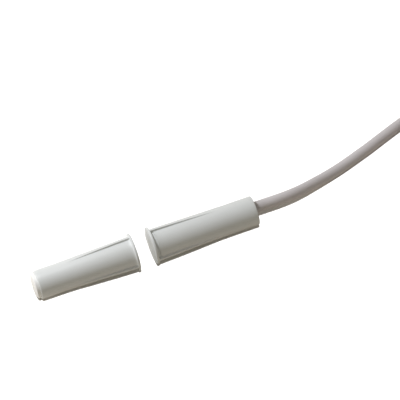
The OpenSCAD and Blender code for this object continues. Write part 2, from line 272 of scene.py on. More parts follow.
@dataclass(frozen=True)
class LeadJacket(Surface):
    """Extruded soft PVC: faint draw lines along it and the lay of the cores under it. It reads UV."""

    lay_length: float = 32.0 * MM
    core_count: int = 4

    def build(self) -> Material:
        """Builds the material. U is the length along the lead in metres and V goes once round it."""
        bench = ShaderBench(self.name)
        where = bench.node("TexCoord", output="UV")
        along, round_it = (bench.node("SeparateXYZ", output=axis, Vector=where) for axis in "XY")
        twist = (round_it * self.core_count + along * (self.core_count / self.lay_length)) * math.tau
        lay = twist.sine() * 0.5 + 0.5
        cloud = bench.noise(150.0, 4.0)
        fine = bench.noise(4200.0, 3.0, 0.6)
        lines = bench.noise(1.0, 3.0, 0.5, (12.0, 60.0, 1.0), "UV")
        wear = (cloud * 0.7 + lines * 0.3).clamped()
        return bench.principled(
            Base_Color=bench.blend(wear, self.tone(0.93), self.tone(1.06)),
            Roughness=cloud * 0.10 + fine * 0.10 + 0.40,
            IOR=1.52,
            Normal=bench.bump(lay * 0.55 + fine * 0.15 + lines * 0.3, 0.035 * MM),
        )


@dataclass(frozen=True)
class CastResin(Surface):
    """Cast potting compound: glossy and dark, with soft waves and a few fine bubbles."""

    def build(self) -> Material:
        """Builds the material."""
        bench = ShaderBench(self.name)
        waves = bench.noise(420.0, 2.0)
        cells = bench.node("TexVoronoi", Vector=bench.node("TexCoord", output="Object"), Scale=2100.0)
        bubble = bench.node("ValToRGB", {"stops": [(0.10, 0.0), (0.16, 1.0)]}, Fac=cells)
        return bench.principled(
            Base_Color=bench.blend(waves, self.tone(0.8), self.tone(1.25)),
            Roughness=waves * 0.18 + 0.16,
            IOR=1.55,
            Normal=bench.bump(waves * 0.7 + bubble * 0.3, 0.03 * MM),
        )


@dataclass(frozen=True)
class DrawnMetal(Surface):
    """Drawn, rolled or ground metal with fine lines along X."""

    roughness: float = 0.3
    line_scale: Triple = (300.0, 9000.0, 9000.0)

    def build(self) -> Material:
        """Builds the material."""
        bench = ShaderBench(self.name)
        lines = bench.noise(1.0, 3.0, 0.6, self.line_scale)
        cloud = bench.noise(700.0, 3.0)
        return bench.principled(
            Base_Color=bench.blend(cloud, self.tone(0.82), self.tone(1.08)),
            Metallic=1.0,
            Roughness=lines * 0.16 + cloud * 0.10 + (self.roughness - 0.13),
            Normal=bench.bump(lines, 0.004 * MM),
        )


@dataclass(frozen=True)
class SolderBead(Surface):
    """Reflowed solder: bright, with shallow frost."""

    def build(self) -> Material:
        """Builds the material."""
        bench = ShaderBench(self.name)
        frost = bench.noise(3200.0, 4.0, 0.65)
        return bench.principled(
            Base_Color=bench.blend(frost, self.tone(0.85), self.tone(1.1)),
            Metallic=1.0,
            Roughness=frost * 0.25 + 0.12,
            Normal=bench.bump(frost, 0.01 * MM),
        )


@dataclass(frozen=True)
class CapsuleGlass(Surface):
    """Thin greenish glass of the reed capsule."""

    def build(self) -> Material:
        """Builds the material."""
        bench = ShaderBench(self.name)
        ripple = bench.noise(1.0, 2.0, 0.5, (200.0, 900.0, 900.0))
        return bench.principled(
            Base_Color=bench.blend(ripple, self.colour, self.tone(1.06)),
            Roughness=ripple * 0.04 + 0.01,
            IOR=1.5,
            Transmission_Weight=1.0,
            Normal=bench.bump(ripple, 0.01 * MM),
        )


@dataclass(frozen=True)
class CoreInsulation(Surface):
    """Thin extruded PVC of one core: satin, with fine lines and scuffs."""

    def build(self) -> Material:
        """Builds the material."""
        bench = ShaderBench(self.name)
        cloud = bench.noise(600.0, 3.0)
        fine = bench.noise(9000.0, 2.0)
        return bench.principled(
            Base_Color=bench.blend(cloud, self.tone(0.88), self.tone(1.1)),
            Roughness=fine * 0.14 + cloud * 0.08 + 0.26,
            IOR=1.52,
            Normal=bench.bump(fine * 0.5 + cloud * 0.5, 0.006 * MM),
        )


class Finish(Enum):
    """Every finish of the contact, by what it covers. Each value builds one material, once."""

    HOUSING = MouldedPlastic("housing_light_grey", (0.68, 0.70, 0.69))
    PLUG = MouldedPlastic("plug_white", (0.84, 0.84, 0.82), roughness=0.5, streaks=0.02)
    TIE = MouldedPlastic("tie_natural_nylon", (0.74, 0.74, 0.69), roughness=0.38, grain=0.006 * MM)
    JACKET = LeadJacket("jacket_grey_pvc", (0.615, 0.585, 0.59))
    HELD_JACKET = CoreInsulation("held_jacket_grey_pvc", (0.615, 0.585, 0.59))
    POTTING = CastResin("potting_resin", (0.060, 0.058, 0.055))
    REED = DrawnMetal("reed_rolled_alloy", (0.62, 0.60, 0.55), 0.28)
    REED_LEAD = DrawnMetal("lead_tinned_alloy", (0.68, 0.67, 0.64), 0.34)
    MAGNET = DrawnMetal("magnet_ground_alloy", (0.30, 0.29, 0.275), 0.42, (900.0, 900.0, 900.0))
    SOLDER = SolderBead("solder_bead", (0.70, 0.70, 0.71))
    GLASS = CapsuleGlass("capsule_glass", (0.86, 0.94, 0.90))
    SLEEVE = CoreInsulation("lead_sleeve_clear", (0.74, 0.70, 0.58))
    COPPER = DrawnMetal("bare_copper", (0.80, 0.42, 0.26), 0.3)
    TINNED = DrawnMetal("tinned_copper", (0.74, 0.73, 0.71), 0.3)
    CORE_WHITE = CoreInsulation("core_insulation_white", Core.WHITE.colour)
    CORE_BROWN = CoreInsulation("core_insulation_brown", Core.BROWN.colour)
    CORE_GREEN = CoreInsulation("core_insulation_green", Core.GREEN.colour)
    CORE_YELLOW = CoreInsulation("core_insulation_yellow", Core.YELLOW.colour)

    @property
    def material(self) -> Material:
        """The finish's material, built when it is first asked for."""
        return bpy.data.materials.get(self.value.name) or self.value.build()

    @classmethod
    def of_core(cls, core: Core) -> "Finish":
        """The insulation of one core."""
        return cls["CORE_" + core.name]


def add_object(name: str, data: bpy.types.ID) -> Object:
    """Makes an object of a mesh, lamp or camera and puts it in the scene."""
    added = bpy.data.objects.new(name, data)
    bpy.context.scene.collection.objects.link(added)
    return added


def add_mesh(name: str, bm: BMesh, material: Material) -> Object:
    """Turns a bmesh into an object of one material.

    Args:
        name: the object's name.
        bm: the mesh, already in place; it is freed.
        material: its material.

    Returns:
        The new object.
    """
    mesh = bpy.data.meshes.new(name)
    bm.to_mesh(mesh)
    bm.free()
    mesh.materials.append(material)
    return add_object(name, mesh)


@dataclass
class Piece:
    """A finished mesh with what it stands for in the frame."""

    name: str
    body: Body
    finish: Finish
    slot: str
    replaces: Sequence[str]

    def from_bmesh(self, bm: BMesh, sharp_deg: float = 38.0) -> Object:
        """Turns a bmesh into a finished object, rides it on its body and hides the CAD nodes that it
        replaces.

        Args:
            bm: the mesh, already in place; it is freed.
            sharp_deg: edges that turn by more than this stay sharp.

        Returns:
            The new object.
        """
        for face in bm.faces:
            face.smooth = True
        for edge in bm.edges:
            edge.smooth = len(edge.link_faces) == 2 and edge.calc_face_angle(0.0) < math.radians(sharp_deg)
        piece = add_mesh(self.name, bm, self.finish.material)
        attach(piece, self.body.value)
        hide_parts(*self.replaces)
        log.info("%s: %d faces on %s", self.name, len(piece.data.polygons), self.body.value)
        return piece


def arc(centre: Point, radius: float, start: float, end: float, steps: int) -> list[Point]:
    """Points of an arc in a profile.

    Args:
        centre: (station, radius) of its centre.
        radius: the arc's radius.
        start: first angle in degrees, from the station axis towards the radius axis.
        end: last angle in degrees.
        steps: number of stretches.

    Returns:
        (station, radius) points.
    """
    turns = [math.radians(start + (end - start) * i / steps) for i in range(steps + 1)]
    return [(centre[0] + radius * math.cos(t), centre[1] + radius * math.sin(t)) for t in turns]


def spun(profile: Sequence[Point], segments: int) -> BMesh:
    """Spins a profile round X into a closed shell with its normals outwards.

    Args:
        profile: (station, radius) points; the first and last lie on the axis.
        segments: number of segments round.

    Returns:
        The shell.
    """
    bm = bmesh.new()
    verts = [bm.verts.new((station, 0.0, radius)) for station, radius in profile]
    edges = [bm.edges.new(pair) for pair in zip(verts, verts[1:])]
    bmesh.ops.spin(
        bm, geom=verts + edges, axis=(1, 0, 0), cent=(0, 0, 0), steps=segments, angle=math.tau, use_merge=True
    )
    bmesh.ops.remove_doubles(bm, verts=bm.verts, dist=HAIR / 2)
    bmesh.ops.recalc_face_normals(bm, faces=bm.faces)
    return bm


def smoothstep(edge: float, inner: float, value: float) -> float:
    """0 at edge, 1 at inner, with a smooth rise between them."""
    t = min(1.0, max(0.0, (value - edge) / (inner - edge)))
    return t * t * (3.0 - 2.0 * t)


@dataclass
class Barrel:
    """One moulded housing: dished flange, groove or fillet behind it, tapered body with ribs, open rear."""

    node: str
    body: Body
    facing: int
    tail_radius: float
    straight: float
    bore_radius: float
    first_rib_deg: float
    neck_depth: float
    neck_width: float
    neck_chamfer: float = 0.05 * MM
    root_rise: float = 0.35 * MM
    root_steps: int = 8
    flange_thickness: float = 0.7 * MM
    front_radius: float = 5.15 * MM
    rim_round: float = 0.14 * MM
    tail_round: float = 0.25 * MM
    mouth_round: float = 0.12 * MM
    front_wall: float = 1.2 * MM
    rib_count: int = 3
    rib_height: float = 0.65 * MM
    rib_width: float = 0.9 * MM
    rib_length: float = 22.5 * MM
    rib_belly: float = 1.35
    rib_edge: float = 0.05 * MM
    rib_fillet: float = 0.08 * MM
    gate_radius: float = 0.7 * MM
    gate_floor: float = 0.6
    gate_depth: float = 0.10 * MM
    dish_depth: float = 0.06 * MM
    dish_curve: tuple[Point, ...] = ((0.5, 1.0), (0.7, 0.8), (0.82, 0.3), (0.9, 0.0))
    segments: int = 480
    body_rows: int = 64
    tail_rows: int = 6
    round_steps: int = 6

    def __post_init__(self) -> None:
        """Reads the place and the outer sizes from the frame's own node."""
        low, high = (Vector(corner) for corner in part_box(self.node))
        self.flange_radius = (high.z - low.z) / 2
        self.axis_z = (high.z + low.z) / 2
        self.length = high.x - low.x
        self.face_x = low.x if self.facing > 0 else high.x

    def place(self) -> Matrix:
        """Turns and moves a shape drawn from the flange face backwards into the row's frame."""
        turn = Matrix.Identity(4) if self.facing > 0 else Matrix.Rotation(math.pi, 4, "Z")
        return Matrix.Translation((self.face_x, 0.0, self.axis_z)) @ turn

    def skin_radius(self, station: float) -> float:
        """The radius of the bare barrel, without its ribs, at a station behind the neck."""
        start = self.flange_thickness + self.neck_width + self.neck_depth
        share = (station - start) / (self.length - self.straight - start)
        return self.front_radius + (self.tail_radius - self.front_radius) * min(1.0, max(0.0, share))

    def root(self, flange: float) -> list[Point]:
        """The section where the barrel meets the flange: a relief groove, or else a long fillet.

        Args:
            flange: the station of the flange's back.

        Returns:
            (station, radius) points, down the flange's back and along to the barrel.
        """
        width, front = self.neck_width, self.front_radius
        if self.neck_depth:
            neck = front - self.neck_depth
            foot = [(flange, neck + self.neck_chamfer), (flange + self.neck_chamfer, neck)]
            return foot + [(flange + width / 2, neck), (flange + width, neck)]
        turns = [math.radians(90.0 * i / self.root_steps) for i in range(self.root_steps)]
        curve = [(1.0 - math.cos(turn), 1.0 - math.sin(turn)) for turn in turns]
        return [(flange + width * along, front + self.root_rise * out) for along, out in curve]

    def profile(self) -> list[Point]:
        """The whole section from the middle of the face round to the bottom of the bore."""
        rim, flange, length = self.rim_round, self.flange_thickness, self.length
        mouth, tail, bore = self.mouth_round, self.tail_round, self.bore_radius
        gate = [(self.gate_depth, 0.0), (self.gate_depth, self.gate_radius * self.gate_floor)]
        gate.append((self.dish_depth, self.gate_radius))
        face = [(self.dish_depth * depth, self.flange_radius * off) for off, depth in self.dish_curve]
        edge = arc((rim, self.flange_radius - rim), rim, 180, 90, self.round_steps)
        edge += arc((flange - rim, self.flange_radius - rim), rim, 90, 0, self.round_steps)
        start, end = flange + self.neck_width + self.neck_depth, length - self.straight
        rows = [start + (end - start) * i / self.body_rows for i in range(self.body_rows + 1)]
        body = [(station, self.skin_radius(station)) for station in rows]
        step = (self.straight - tail) / self.tail_rows
        body += [(end + step * i, self.tail_radius) for i in range(1, self.tail_rows)]
        rear = arc((length - tail, self.tail_radius - tail), tail, 90, 0, self.round_steps - 1)
        rear += arc((length - mouth, bore + mouth), mouth, 0, -90, self.round_steps - 2)
        floor = [(self.front_wall, bore), (self.front_wall, 0.0)]
        return gate + face + edge + self.root(flange) + body + rear + floor

    def rib_radius(self, station: float) -> float:
        """The radius of a rib's bellied back at a station, from the flange to where it runs out."""
        top = self.front_radius + self.rib_height
        end = self.skin_radius(self.rib_length)
        share = (station - self.flange_thickness) / (self.rib_length - self.flange_thickness)
        return top + (end - top) * max(0.0, share) ** self.rib_belly

    def raise_ribs(self, bm: BMesh) -> None:
        """Lifts the outer skin over each rib, with a soft edge and a fillet at its foot.

        Args:
            bm: the spun housing, still drawn from the flange face backwards.
        """
        half = self.rib_width / 2
        turns = [math.radians(self.first_rib_deg + 360.0 * i / self.rib_count) for i in range(self.rib_count)]
        for vert in bm.verts:
            station, radius = vert.co.x, math.hypot(vert.co.y, vert.co.z)
            outside = radius > self.tail_radius - HAIR
            if not outside or not self.flange_thickness - HAIR <= station <= self.rib_length:
                continue
            top = self.rib_radius(station)
            if top <= radius or radius > self.flange_radius - 2 * self.rim_round:
                continue
            angle = math.atan2(vert.co.y, vert.co.z)
            off = min(abs(math.remainder(angle - turn, math.tau)) for turn in turns) * self.front_radius
            lift = smoothstep(half + self.rib_fillet, half - self.rib_edge, off)
            vert.co.yz = vert.co.yz * (1.0 + (top - radius) * lift / radius)

    def build(self, name: str) -> Object:
        """Models the housing and puts it in the frame.

        Args:
            name: the piece's name.

        Returns:
            The housing.
        """
        bm = spun(self.profile(), self.segments)
        self.raise_ribs(bm)
        bmesh.ops.transform(bm, matrix=self.place(), verts=bm.verts)
        bmesh.ops.recalc_face_normals(bm, faces=bm.faces)
        return Piece(name, self.body, Finish.HOUSING, "abs_light_grey", [self.node]).from_bmesh(bm)


@dataclass
class MagnetHalf:
    """The magnet's barrel, its end plug and the bar magnet inside."""

    plug_round: float = 0.32 * MM
    plug_dome: float = 0.42 * MM
    plug_chamfer: float = 0.05 * MM
    plug_segments: int = 128
    dome_steps: int = 8
    rim_steps: int = 7
    spigot_steps: int = 4
    spigot_radius: float = 3.25 * MM
    spigot_length: float = 5.8 * MM
    gate_radius: float = 0.9 * MM
    gate_floor: float = 0.8
    gate_depth: float = 0.12 * MM

    def __post_init__(self) -> None:
        """Makes the barrel's description."""
        self.barrel = Barrel(
            node="magnet_housing",
            body=Body.MAGNET,
            facing=-1,
            tail_radius=4.6 * MM,
            straight=7.5 * MM,
            bore_radius=3.25 * MM,
            first_rib_deg=-32.0,
            neck_depth=0.0,
            neck_width=1.4 * MM,
        )

    def build_plug(self) -> Object:
        """Models the end plug: a domed head with a sunk gate mark, and a spigot in the bore."""
        low, high = (Vector(corner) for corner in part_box("end_plug"))
        head, soft, chamfer = (high.z - low.z) / 2, self.plug_round, self.plug_chamfer
        rear, outer = self.barrel.length, self.barrel.face_x - low.x
        inner, floor = rear - self.spigot_length, outer - self.gate_depth
        profile = [(inner, 0.0)]
        profile += arc((inner + soft, self.spigot_radius - soft), soft, 180, 90, self.spigot_steps)
        profile += [(rear, self.spigot_radius), (rear, head - chamfer), (rear + chamfer, head)]
        profile += arc((outer - self.plug_dome - soft, head - soft), soft, 90, 10, self.rim_steps)
        for step in range(1, self.dome_steps + 1):
            share = step / self.dome_steps
            off = (head - soft) * (1.0 - share) + self.gate_radius * share
            profile.append((outer - self.plug_dome * (off / head) ** 2, off))
        profile += [(floor, self.gate_radius * self.gate_floor), (floor, 0.0)]
        bm = spun(profile, self.plug_segments)
        bmesh.ops.transform(bm, matrix=self.barrel.place(), verts=bm.verts)
        return Piece("magnet_end_plug", Body.MAGNET, Finish.PLUG, "abs_white", ["end_plug"]).from_bmesh(bm)

    def build(self) -> None:
        """Builds the half and dresses its magnet."""
        self.barrel.build("magnet_barrel")
        self.build_plug()
        dress(["bar_magnet"], Finish.MAGNET)


@dataclass
class SwitchHalf:
    """The switch's barrel with the potting that seals its rear, and the reed switch inside."""

    lead_diameter: float = 3.7 * MM
    lead_side: float = 0.7 * MM
    lead_lift: float = 0.35 * MM
    recess: float = 1.0 * MM
    creep: float = 0.30 * MM
    creep_power: float = 3.0
    sink: float = 0.05 * MM
    potting_segments: int = 96
    potting_rings: int = 9

    def __post_init__(self) -> None:
        """Makes the barrel's description."""
        self.barrel = Barrel(
            node="switch_housing",
            body=Body.SWITCH,
            facing=1,
            tail_radius=4.75 * MM,
            straight=9.5 * MM,
            bore_radius=3.85 * MM,
            first_rib_deg=32.0,
            neck_depth=0.3 * MM,
            neck_width=0.7 * MM,
        )

    def exit_point(self) -> Vector:
        """The middle of the lead where it leaves the potting."""
        rear = self.barrel.face_x + self.barrel.length
        return Vector((rear - self.recess, self.lead_side, self.barrel.axis_z + self.lead_lift))

    def potting_ring(self, share: float, station: float) -> Matrix:
        """Places a unit circle between the bore's wall and the lead.

        Args:
            share: 0 on the bore's wall and 1 on the lead.
            station: the ring's place along X.

        Returns:
            The ring's matrix.
        """
        bore = self.barrel.bore_radius
        radius = bore + (self.lead_diameter / 2 - bore) * share
        middle = Vector((station, self.lead_side * share, self.barrel.axis_z + self.lead_lift * share))
        return Matrix.Translation(middle) @ Matrix.Rotation(math.pi / 2, 4, "Y") @ Matrix.Scale(radius, 4)

    def build_potting(self) -> Object:
        """Models the potting as a ring whose rear face creeps up the bore and the lead."""
        low, _ = (Vector(corner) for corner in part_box("potting"))
        face = self.exit_point().x
        rings = [(0.0, low.x)]
        for step in range(self.potting_rings):
            share = step / (self.potting_rings - 1)
            rise = self.creep * abs(2.0 * share - 1.0) ** self.creep_power
            rings.append((share, face + rise - self.sink))
        rings.append((1.0, low.x))
        bm = bmesh.new()
        loops = []
        for share, station in rings:
            place = self.potting_ring(share, station)
            made = bmesh.ops.create_circle(bm, segments=self.potting_segments, radius=1.0, matrix=place)
            loops.append({edge for vert in made["verts"] for edge in vert.link_edges})
        for first, second in zip(loops, loops[1:] + loops[:1]):
            bmesh.ops.bridge_loops(bm, edges=list(first | second))
        bmesh.ops.recalc_face_normals(bm, faces=bm.faces)
        potting = Piece("rear_potting", Body.SWITCH, Finish.POTTING, "potting_compound", ["potting"])
        return potting.from_bmesh(bm)

    def build(self) -> None:
        """Builds the half and dresses what it holds."""
        self.barrel.build("switch_barrel")
        self.build_potting()
        dress(["reed_glass"], Finish.GLASS)
        dress(["front_blade", "rear_blade"], Finish.REED)
        dress(["front_lead", "rear_lead"], Finish.REED_LEAD)
        dress(["front_solder_joint", "rear_solder_joint", "tamper_solder_joint"], Finish.SOLDER)
        dress(["lead_sleeve"], Finish.SLEEVE)
        dress(["cable_inlet"], Finish.HELD_JACKET)
        dress(["strain_tie"], Finish.TIE)
        for core in Core:
            dress(["core_" + core.word], Finish.of_core(core))
            dress(["wire_" + core.word], Finish.COPPER)


def dress(nodes: Iterable[str], finish: Finish) -> None:
    """Gives CAD nodes a finish, in every slot of theirs.

    Args:
        nodes: the nodes' names.
        finish: the finish.
    """
    for name in nodes:
        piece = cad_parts[name]
        for slot in piece.material_slots:
            slot.link = "DATA"
            slot.material = finish.material
        if not piece.material_slots:
            piece.data.materials.append(finish.material)
        log.info("%s: %s", name, finish.value.name)


def catmull_rom(points: Sequence[Vector], step: float) -> list[Vector]:
    """A smooth line through points, sampled about a step apart.

    Args:
        points: what the line goes through.
        step: the wanted distance between samples.

    Returns:
        The samples, from the first point to the last.
    """
    padded = [points[0] * 2 - points[1], *points, points[-1] * 2 - points[-2]]
    line = []
    for before, start, end, after in zip(padded, padded[1:], padded[2:], padded[3:]):
        count = max(1, round((end - start).length / step))
        for i in range(count):
            t = i / count
            square = 2.0 * before - 5.0 * start + 4.0 * end - after
            cube = 3.0 * start - before - 3.0 * end + after
            line.append(0.5 * (2.0 * start + (end - before) * t + square * t**2 + cube * t**3))
    line.append(points[-1].copy())
    return line


def swept_tube(bm: BMesh, path: Sequence[Vector], radius: float, sides: int) -> None:
    """Sweeps a round tube along a path, closes its ends and gives it UV: metres along, once round.

    Args:
        bm: the mesh to add to.
        path: the tube's centres, close together.
        radius: the tube's radius.
        sides: number of sides.
    """
    uv = bm.loops.layers.uv.verify()
    along = bm.verts.layers.float.get("along") or bm.verts.layers.float.new("along")
    around = bm.verts.layers.float.get("around") or bm.verts.layers.float.new("around")
    ring = bmesh.ops.create_circle(bm, segments=sides, radius=radius)["verts"]
    section = [vert.co.copy() for vert in ring]
    for i, vert in enumerate(ring):
        vert[around] = i / sides
    edges = list(dict.fromkeys(edge for vert in ring for edge in vert.link_edges))
    new_faces, travelled = [], 0.0
    for i, centre in enumerate(path):
        ahead = (path[min(i + 1, len(path) - 1)] - path[max(i - 1, 0)]).normalized()
        side = ahead.cross(Vector((0.0, 0.0, 1.0))).normalized()
        up = side.cross(ahead)
        if i:
            travelled += (centre - path[i - 1]).length
            grown = bmesh.ops.extrude_edge_only(bm, edges=edges)["geom"]
            new_faces += [g for g in grown if isinstance(g, BMFace)]
            fresh = [g for g in grown if isinstance(g, BMVert)]
            edges = [g for g in grown if isinstance(g, BMEdge) and set(g.verts) <= set(fresh)]
            ring = sorted(fresh, key=lambda vert: vert[around])
        for vert, flat in zip(ring, section):
            vert.co = centre + side * flat.x + up * flat.y
            vert[along] = travelled
        if i == 0 or i == len(path) - 1:
            new_faces.append(bm.faces.new(ring if i else list(reversed(ring))))
    for face in new_faces:
        turns = [loop.vert[around] for loop in face.loops]
        wraps = max(turns) - min(turns) > 0.5 and len(face.verts) == 4
        for loop, turn in zip(face.loops, turns):
            loop[uv].uv = (loop.vert[along], turn + 1.0 if wraps and turn < 0.5 else turn)
    bmesh.ops.recalc_face_normals(bm, faces=new_faces)


@dataclass
class CoilShift:
    """One change of place in the coil: a turn moves to the next column or layer round a phase."""

    turn: float
    columns: int
    layers: int


@dataclass
class Lead:
    """The four-core lead: its visible stretch, a neat tied coil past the view, and its bare end."""

    switch: SwitchHalf
    sides: int = 20
    sharp_deg: float = 60.0
    sample: float = 1.8 * MM
    coil_centre: Point = (114.4 * MM, -8.0 * MM)
    coil_mean_radius: float = 20.75 * MM
    coil_columns: int = 4
    coil_layers: int = 4
    coil_turns: float = 14.0
    coil_start_deg: float = 98.0
    points_a_turn: int = 48
    shift_span: float = 0.23
    shift_gap: float = 0.2
    tie_thickness: float = 0.5 * MM
    tie_width: float = 3.6 * MM
    tie_head: float = 1.4 * MM
    tie_gap: float = 0.02 * MM
    tie_bevel: float = 0.25 * MM
    tie_slot_wall: float = 0.9 * MM
    tie_slot_depth: float = 0.7 * MM
    tie_sharp_deg: float = 30.0
    tie_corner_steps: int = 6
    tie_turns: tuple[float, ...] = (190.0, 310.0)
    core_diameter: float = 1.1 * MM
    core_pitch: float = 1.2 * MM
    core_length: float = 13.0 * MM
    core_gap: float = 0.02 * MM
    core_sides: int = 16
    core_samples: int = 14
    core_settles: float = 0.75
    spread_at_jacket: float = 0.75
    tip_length: float = 5.0 * MM
    strand_diameter: float = 0.17 * MM
    strand_start: float = -0.6 * MM
    strand_count: int = 7
    strand_sides: int = 8
    strand_twist: float = 1.1
    route_mm: tuple[Triple, ...] = (
        (36.05, 0.7, 6.35), (40.5, 0.7, 6.35), (45, 0.7, 6.25), (49.4, 1, 5.8), (53.9, 1.8, 4.9),
        (58.2, 2.95, 3.8), (62.6, 4.15, 2.8), (67, 5.4, 2.1), (71.2, 6.65, 1.85), (75.4, 7.95, 1.85),
        (79.7, 9.3, 1.85), (84, 10.8, 1.85), (89.5, 12.7, 1.85), (94, 14.15, 1.85), (98.2, 15.4, 1.9),
        (102.2, 16.45, 2), (106.1, 17.35, 2.2), (109.8, 18.05, 2.35),
    )
    tail_mm: tuple[Triple, ...] = (
        (109.8, 18.05, 13.45), (116.3, 18.5, 13.45), (122.3, 18.3, 13.3), (128.3, 17.2, 12.6),
        (133.9, 14.2, 10.9), (138.5, 9, 8.6), (141.9, 2.9, 6), (143.7, -3.6, 3.8), (144.1, -10.2, 2.35),
        (143.4, -15.6, 1.85),
    )

    def __post_init__(self) -> None:
        """Takes the lead's diameter from the switch that holds it."""
        self.diameter = self.switch.lead_diameter

    def shifts(self) -> list[CoilShift]:
        """Every change of column or layer, in the order in which the lead meets them.

        The four kinds of change have a phase of their own in the turn, so that no two stretches of
        lead meet while one of them changes place.
        """
        outward, climb_inside, inward, climb_outside = 0.125, 0.375, 0.625, 0.875
        found, turn = [], 0.0
        for layer in range(self.coil_layers):
            going_in = layer % 2 == 0
            phase = inward if going_in else outward
            for _ in range(self.coil_columns - 1):
                turn = self.next_phase(turn, phase)
                found.append(CoilShift(turn, 1 if going_in else -1, 0))
            if layer < self.coil_layers - 1:
                turn = self.next_phase(turn, climb_inside if going_in else climb_outside)
                found.append(CoilShift(turn, 0, 1))
        return found

    def next_phase(self, turn: float, phase: float) -> float:
        """The next turn number that has the given phase and leaves a gap after this one."""
        whole = math.floor(turn) + phase
        return whole if whole > turn + self.shift_gap else whole + 1.0

    def coil_points(self) -> list[Vector]:
        """The lead's centre line through the whole coil, worked out turn by turn."""
        shifts, half_span = self.shifts(), self.shift_span / 2
        outer = self.coil_mean_radius + (self.coil_columns - 1) * self.diameter / 2
        points = []
        for i in range(1, round(self.coil_turns * self.points_a_turn)):
            turn = i / self.points_a_turn
            column = layer = 0.0
            for shift in shifts:
                done = smoothstep(shift.turn - half_span, shift.turn + half_span, turn)
                column += shift.columns * done
                layer += shift.layers * done
            angle = math.radians(self.coil_start_deg - 360.0 * turn)
            radius = outer - column * self.diameter
            height = self.tie_thickness + self.diameter / 2 + layer * self.diameter
            x = self.coil_centre[0] + radius * math.cos(angle)
            y = self.coil_centre[1] + radius * math.sin(angle)
            points.append(Vector((x, y, height)))
        return points

    def centre_line(self) -> list[Vector]:
        """The whole lead, from the potting through the coil to the jacket's bare end."""
        routes = ([Vector(point) * MM for point in route] for route in (self.route_mm, self.tail_mm))
        run, tail = (catmull_rom(route, self.sample) for route in routes)
        return run + self.coil_points() + tail

    def build_jacket(self, line: Sequence[Vector]) -> Object:
        """Sweeps the jacket along the centre line."""
        bm = bmesh.new()
        swept_tube(bm, line, self.diameter / 2, self.sides)
        solids = ["cable_run", "cable_coil", "cable_tail"]
        jacket = Piece("lead_jacket", Body.SWITCH, Finish.JACKET, "cable_jacket", solids)
        return jacket.from_bmesh(bm, self.sharp_deg)

    def build_ties(self) -> Object:
        """Models the ties: a thin band round the coil's section and a bevelled head with a slot."""
        bm = bmesh.new()
        half, corner = self.coil_columns * self.diameter / 2, self.diameter / 2
        steps = self.tie_corner_steps
        inner, outer = self.coil_mean_radius - half, self.coil_mean_radius + half
        bottom, top = self.tie_thickness, self.tie_thickness + self.coil_layers * self.diameter
        outline = (
            arc((inner + corner, bottom + corner), corner, 180, 270, steps)
            + arc((outer - corner, bottom + corner), corner, 270, 360, steps)
            + arc((outer - corner, top - corner), corner, 0, 90, steps)
            + arc((inner + corner, top - corner), corner, 90, 180, steps)
        )
        for turn in self.tie_turns:
            band = bmesh.new()
            verts = [band.verts.new((r, -self.tie_width / 2, z)) for r, z in outline]
            edges = [band.edges.new(pair) for pair in zip(verts, verts[1:] + verts[:1])]
            grown = bmesh.ops.extrude_edge_only(band, edges=edges)["geom"]
            moved = [g for g in grown if isinstance(g, BMVert)]
            bmesh.ops.translate(band, verts=moved, vec=(0.0, self.tie_width, 0.0))
            bmesh.ops.recalc_face_normals(band, faces=band.faces)
            bmesh.ops.solidify(band, geom=list(band.faces), thickness=-self.tie_thickness)
            self.add_tie_head(band, inner + corner, top)
            bmesh.ops.recalc_face_normals(band, faces=band.faces)
            place = Matrix.Translation((*self.coil_centre, 0.0)) @ Matrix.Rotation(math.radians(turn), 4, "Z")
            bmesh.ops.transform(band, matrix=place, verts=band.verts)
            shell = bpy.data.meshes.new("tie_shell")
            band.to_mesh(shell)
            band.free()
            bm.from_mesh(shell)
            bpy.data.meshes.remove(shell)
        straps = Piece("coil_tie_straps", Body.SWITCH, Finish.TIE, "nylon_tie", ["coil_ties"])
        return straps.from_bmesh(bm, self.tie_sharp_deg)

    def add_tie_head(self, bm: BMesh, inner: float, top: float) -> None:
        """Adds a tie's bevelled head, with the slot that the strap goes through.

        Args:
            bm: the tie's mesh.
            inner: the radius at which the head starts.
            top: the height of the coil's top.
        """
        depth = self.tie_thickness + self.tie_head
        place = Matrix.Translation((inner + self.tie_width / 2, 0.0, top + depth / 2))
        size = Matrix.Diagonal((self.tie_width, self.tie_width, depth - self.tie_gap, 1.0))
        made = bmesh.ops.create_cube(bm, size=1.0, matrix=place @ size)["verts"]
        faces = list({face for vert in made for face in vert.link_faces})
        edges = list({edge for vert in made for edge in vert.link_edges})
        upper = max(faces, key=lambda face: face.calc_center_median().z)
        bmesh.ops.inset_region(bm, faces=[upper], thickness=self.tie_slot_wall)
        bmesh.ops.translate(bm, verts=list(upper.verts), vec=(0.0, 0.0, -self.tie_slot_depth))
        shape = {"affect": "EDGES", "segments": 3, "profile": 0.5, "material": -1, "clamp_overlap": True}
        bmesh.ops.bevel(bm, geom=edges, offset=self.tie_bevel, **shape)

